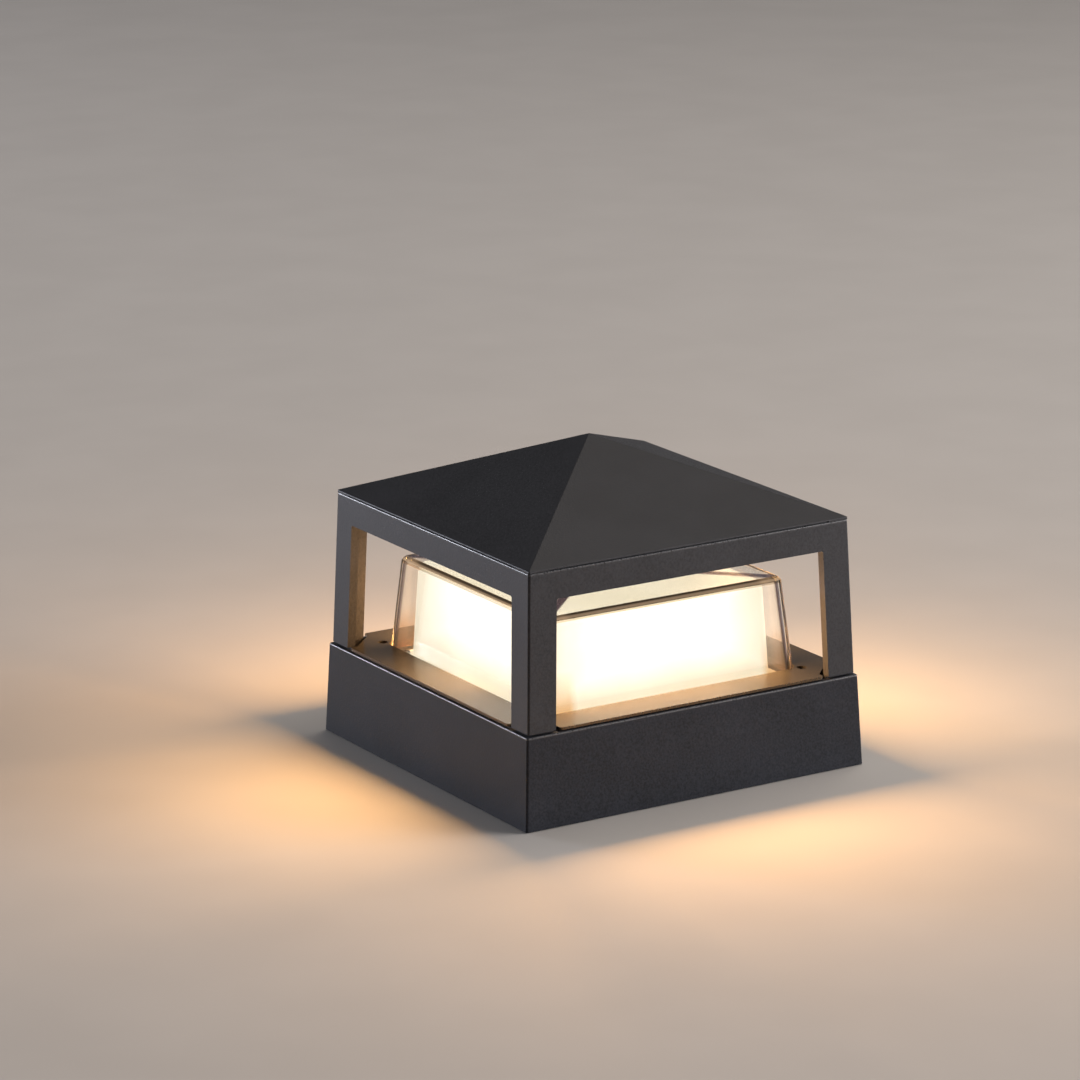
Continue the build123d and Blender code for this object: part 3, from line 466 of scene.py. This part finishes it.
def spun(outline, steps=32):
    """A closed turned form from an outline of radius and height."""
    shape = bmesh.new()
    verts = [shape.verts.new((r, 0, z)) for r, z in outline]
    edges = [shape.edges.new(pair) for pair in zip(verts, verts[1:])]
    bmesh.ops.spin(
        shape,
        geom=verts + edges,
        cent=(0, 0, 0),
        axis=(0, 0, 1),
        angle=2 * math.pi,
        steps=steps,
        use_merge=True,
    )
    bmesh.ops.remove_doubles(shape, verts=shape.verts, dist=MERGE)
    bmesh.ops.recalc_face_normals(shape, faces=shape.faces)
    return shape


def mesh_of(shape, name):
    """The finished mesh of a form under construction, which is freed."""
    mesh = bpy.data.meshes.new(name)
    shape.to_mesh(mesh)
    shape.free()
    return mesh


def cut_by(mesh, cutters):
    """A mesh with each cutter's form taken out of it."""
    body = bpy.data.objects.new("blank", mesh)
    scene.collection.objects.link(body)
    tools = []
    for cutter in cutters:
        tool = bpy.data.objects.new("cutter", mesh_of(cutter, "cutter"))
        scene.collection.objects.link(tool)
        cut = body.modifiers.new("cut", "BOOLEAN")
        cut.object = tool
        tools.append(tool)
    seen = body.evaluated_get(bpy.context.evaluated_depsgraph_get())
    result = bpy.data.meshes.new_from_object(seen)
    for spare in (body, *tools):
        bpy.data.objects.remove(spare)
    return result


def wedge(length, width, foot, top, flat=0.6):
    """A block that narrows towards its foot, for one arm of a recess."""
    shape = bmesh.new()
    bmesh.ops.create_cube(shape, size=1)
    for vert in shape.verts:
        below = vert.co.z < 0
        narrow = flat if below else 1
        vert.co = Vector((vert.co.x * length * narrow, vert.co.y * width * narrow, foot if below else top))
    return shape


def drive_cutters(drive, head_radius, head_height):
    """The forms that a cross or a hexagon socket takes out of a screw's head."""
    above = 2 * head_height
    if drive == "hexagon":
        shape = bmesh.new()
        socket = 0.52 * head_radius
        floor = 0.45 * head_height
        bmesh.ops.create_cone(
            shape, cap_ends=True, segments=6, radius1=socket, radius2=socket, depth=above
        )
        bmesh.ops.translate(shape, vec=(0, 0, above / 2 + floor), verts=shape.verts)
        return [shape]
    arms = [wedge(1.3 * head_radius, 0.34 * head_radius, 0.15 * head_height, above) for _ in range(2)]
    quarter = Matrix.Rotation(math.pi / 2, 3, "Z")
    bmesh.ops.rotate(arms[1], cent=(0, 0, 0), matrix=quarter, verts=arms[1].verts)
    return arms


def thread(shape, core, crest, start, length, pitch):
    """A helical thread added to a form, from start downwards."""
    root = core * 0.96
    half_width = 0.44 * pitch
    verts = [
        shape.verts.new((root, 0, start - half_width)),
        shape.verts.new((crest, 0, start)),
        shape.verts.new((root, 0, start + half_width)),
    ]
    edges = [shape.edges.new((verts[i], verts[(i + 1) % 3])) for i in range(3)]
    first = shape.faces.new(verts)
    turns = length / pitch
    steps_a_turn = 20
    steps = round(steps_a_turn * turns)
    before = set(shape.faces)
    made = bmesh.ops.spin(
        shape,
        geom=verts + edges,
        cent=(0, 0, 0),
        axis=(0, 0, 1),
        dvec=(0, 0, -length / steps),
        angle=2 * math.pi * turns,
        steps=steps,
    )
    shape.faces.new([g for g in made["geom_last"] if isinstance(g, bmesh.types.BMVert)])
    fresh = [face for face in shape.faces if face not in before] + [first]
    bmesh.ops.recalc_face_normals(shape, faces=fresh)


def screw_mesh(name, sizes, drive):
    """One screw on the Z axis, with its seat at zero and its head above it."""
    radius, height, shank, length = sizes
    core = 0.8 * shank
    pitch = 0.34 * shank
    if drive == "cross":
        crown = [
            (radius * math.sin(turn), height * (0.5 + 0.5 * math.cos(turn)))
            for turn in (math.radians(15 * i) for i in range(7))
        ]
        head = [*crown[:-1], (radius, 0.45 * height), (radius, 0.08 * height), (0.94 * radius, 0)]
    else:
        edge = 0.1 * radius
        head = [(0, height), (radius - edge, height), (radius, height - edge), (radius, 0)]
    tip = [(core, 0.4 * core - length), (0.6 * core, -length), (0, -length)]
    outline = [*head, (shank, 0), (core, -0.5 * (shank - core)), *tip]
    blank = mesh_of(spun(outline), name)
    shape = bmesh.new()
    shape.from_mesh(cut_by(blank, drive_cutters(drive, radius, height)))
    thread(shape, core, shank, -0.9 * pitch, length - 2.2 * pitch, pitch)
    return mesh_of(shape, name)


def grub_mesh(name, solid):
    """One slotted grub screw that stands where a plain one does, with its slot at the foot."""
    low, high = box_of(solid)
    radius = (high.x - low.x) / 2
    tall = high.z - low.z
    edge = 0.12 * radius
    outline = [
        (0, tall),
        (radius - edge, tall),
        (radius, tall - edge),
        (radius, edge),
        (radius - edge, 0),
        (0, 0),
    ]
    slot = wedge(3 * radius, 0.3 * radius, -tall, 0.3 * tall, 1.0)
    mesh = cut_by(mesh_of(spun(outline), name), [slot])
    return mesh, Vector(((low.x + high.x) / 2, (low.y + high.y) / 2, low.z))


def add_piece(mesh, name, finish, body):
    """A detailed piece that stands for the CAD node of the same name."""
    mesh.materials.clear()
    mesh.materials.append(finish)
    mesh.shade_smooth()
    mesh.set_sharp_from_angle(angle=math.radians(32))
    piece = bpy.data.objects.new("detailed_" + name, mesh)
    scene.collection.objects.link(piece)
    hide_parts(name)
    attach(piece, body)
    return piece


def softened(name, reach, cutters=()):
    """A CAD node's own form with cutters taken out of it and small rounded edges, as moulding leaves them."""
    shape = bmesh.new()
    shape.from_mesh(nodes[name].data)
    bmesh.ops.transform(shape, matrix=nodes[name].matrix_world, verts=shape.verts)
    bmesh.ops.remove_doubles(shape, verts=shape.verts, dist=MERGE)
    bmesh.ops.dissolve_limit(shape, angle_limit=math.radians(1), verts=shape.verts, edges=shape.edges)
    mesh = mesh_of(shape, name)
    if cutters:
        mesh = cut_by(mesh, cutters)
    shape = bmesh.new()
    shape.from_mesh(mesh)
    sharp = [e for e in shape.edges if e.is_manifold and e.calc_face_angle_signed(0) > math.radians(40)]
    bmesh.ops.bevel(
        shape,
        geom=sharp,
        offset=reach * MM,
        offset_type="OFFSET",
        affect="EDGES",
        segments=2,
        profile=0.5,
        clamp_overlap=True,
        material=-1,
    )
    return mesh_of(shape, name)


def block(low, high):
    """A square block between two corners in millimetres, for a cutter."""
    shape = bmesh.new()
    bmesh.ops.create_cube(shape, size=1)
    for vert in shape.verts:
        vert.co = Vector([(low[i] if vert.co[i] < 0 else high[i]) * MM for i in range(3)])
    return shape


def detail_driver():
    """The driver's case with moulded edges, a parting line round it and a recessed panel below."""
    low, high = [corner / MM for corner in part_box("led_driver")]
    case = [c / MM for solid in separate_solids("led_driver") for c in solid]
    foot = [c for c in case if c.z < low.z + 0.01]
    left, right = min(c.x for c in foot), max(c.x for c in foot)
    parting = low.z + 0.62 * (high.z - low.z)
    line_width, line_depth = 0.5, 0.35
    panel_inset, panel_depth = 4, 0.4
    outer = 5
    sides = (
        ((left - outer, low.y - outer), (left + line_depth, high.y + outer)),
        ((right - line_depth, low.y - outer), (right + outer, high.y + outer)),
        ((left - outer, low.y - outer), (right + outer, low.y + line_depth)),
        ((left - outer, high.y - line_depth), (right + outer, high.y + outer)),
    )
    cutters = [block((*a, parting), (*b, parting + line_width)) for a, b in sides]
    panel_low = (left + panel_inset, low.y + panel_inset, low.z - 1)
    panel_high = (right - panel_inset, high.y - panel_inset, low.z + panel_depth)
    cutters.append(block(panel_low, panel_high))
    add_piece(softened("led_driver", 0.4, cutters), "led_driver", driver_case, "head")


def detail_screws(name, drive, finish, body):
    """Screws with drives and threads where a CAD node has plain ones, each turned its own way."""
    group = bmesh.new()
    first_turn, turn_step = 0.5, 2.4
    for index, solid in enumerate(separate_solids(name)):
        if drive == "slot":
            pattern, place = grub_mesh(name, solid)
            flip = Matrix()
        else:
            place, up, sizes = measure_screw(solid)
            flip = Matrix() if up else Matrix.Rotation(math.pi, 4, "X")
            if not index:
                pattern = screw_mesh(name, sizes, drive)
        copy = bmesh.new()
        copy.from_mesh(pattern)
        turn = Matrix.Rotation(turn_step * index + first_turn, 4, "Z")
        bmesh.ops.transform(copy, matrix=Matrix.Translation(place) @ flip @ turn, verts=copy.verts)
        group.from_mesh(mesh_of(copy, name))
    add_piece(mesh_of(group, name), name, finish, body)


for name in finishes[stainless]:
    drive = "hexagon" if name == "head_screws" else "cross"
    detail_screws(name, drive, stainless, "base" if name == "plate_screws" else "head")
detail_screws("terminal_clamps", "slot", brass, "head")
detail_driver()
for name, reach, finish, slot in (
    ("terminal_block", 0.25, dark_nylon, "terminal_nylon"),
    ("board_connector", 0.15, nylon, "connector_nylon"),
    ("led_chips", 0.12, phosphor, "chip_phosphor"),
    ("earth_lug", 0.1, tinned, "tinned_copper"),
):
    add_piece(softened(name, reach), name, finish, "head")


# Floor, world and lamps


def lay_floor():
    """A plain pale floor that reaches past every view."""
    mesh = bpy.data.meshes.new("floor")
    shape = bmesh.new()
    bmesh.ops.create_circle(shape, cap_ends=True, segments=96, radius=12)
    shape.to_mesh(mesh)
    shape.free()
    floor = bpy.data.objects.new("floor", mesh)
    finish, tree, place = new_finish("pale_floor")
    surface = add_node(
        tree,
        "ShaderNodeBsdfPrincipled",
        {"Base Color": between(tree, mottle(tree, place, 60.0), "#c6c1bb", "#c9c4be"), "Roughness": 0.7},
    )
    close_finish(tree, surface.outputs[0])
    mesh.materials.append(finish)
    scene.collection.objects.link(floor)


def light_world():
    """Soft even light from all round, with the backdrop's pale grey where the camera sees it straight on."""
    world = bpy.data.worlds.new("studio")
    world.use_nodes = True
    tree = world.node_tree
    tree.nodes.clear()
    soft = add_node(tree, "ShaderNodeBackground", {"Color": linear("#e6e8ee"), "Strength": 0.17})
    seen = add_node(tree, "ShaderNodeBackground", {"Color": linear("#9f9a92"), "Strength": 1.0})
    path = add_node(tree, "ShaderNodeLightPath")
    blend = add_node(
        tree,
        "ShaderNodeMixShader",
        {0: path.outputs["Is Camera Ray"], 1: soft.outputs[0], 2: seen.outputs[0]},
    )
    add_node(tree, "ShaderNodeOutputWorld", {"Surface": blend.outputs[0]})
    scene.world = world


def hang_softbox(name, place, size, power, colour):
    """A square area lamp that faces the light, at a place in metres."""
    lamp = bpy.data.lights.new(name, "AREA")
    lamp.shape = "SQUARE"
    lamp.size = size
    lamp.energy = power
    lamp.color = linear(colour)[:3]
    stand = bpy.data.objects.new(name, lamp)
    stand.location = place
    stand.rotation_mode = "QUATERNION"
    stand.rotation_quaternion = (Vector((0, 0, 0.05)) - Vector(place)).to_track_quat("-Z", "Y")
    scene.collection.objects.link(stand)


def light_opal():
    """Warm lamps just outside the opal box's four walls, which throw its light on deck, posts and floor."""
    low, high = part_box("inner_diffuser")
    half = high.x - OPAL_FLANGE_REACH * MM
    deck_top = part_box("deck_plate")[1].z
    tall = high.z - deck_top
    for quarter, side in enumerate(("right", "back", "left", "front")):
        lamp = bpy.data.lights.new("glow_" + side, "AREA")
        lamp.shape = "RECTANGLE"
        lamp.size = 1.9 * half
        lamp.size_y = 0.9 * tall
        lamp.energy = GLOW * math.pi * lamp.size * lamp.size_y
        lamp.color = linear("#ffc47c")[:3]
        glow = bpy.data.objects.new("glow_" + side, lamp)
        turn = Matrix.Rotation(quarter * math.pi / 2, 4, "Z")
        outward = turn @ Vector((1, 0, 0))
        glow.location = turn @ Vector((half + 0.5 * MM, 0, deck_top + tall / 2))
        glow.rotation_mode = "QUATERNION"
        glow.rotation_quaternion = outward.to_track_quat("-Z", "Z")
        glow.visible_camera = False
        glow.visible_glossy = False
        glow.visible_transmission = False
        scene.collection.objects.link(glow)
        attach(glow, "head")


aim_camera()
lay_floor()
light_world()
light_opal()
hang_softbox("rim", (-1.31, 2.48, 0.27), 0.5, 50, "#eef1ff")
hang_softbox("overhead", (0.9, 0.16, 2.1), 1.45, 16.5, "#fff4e8")
hang_softbox("front", (2.0, -1.36, 0.48), 1.3, 78, "#fbf7f8")
scene.view_settings.view_transform = "Standard"
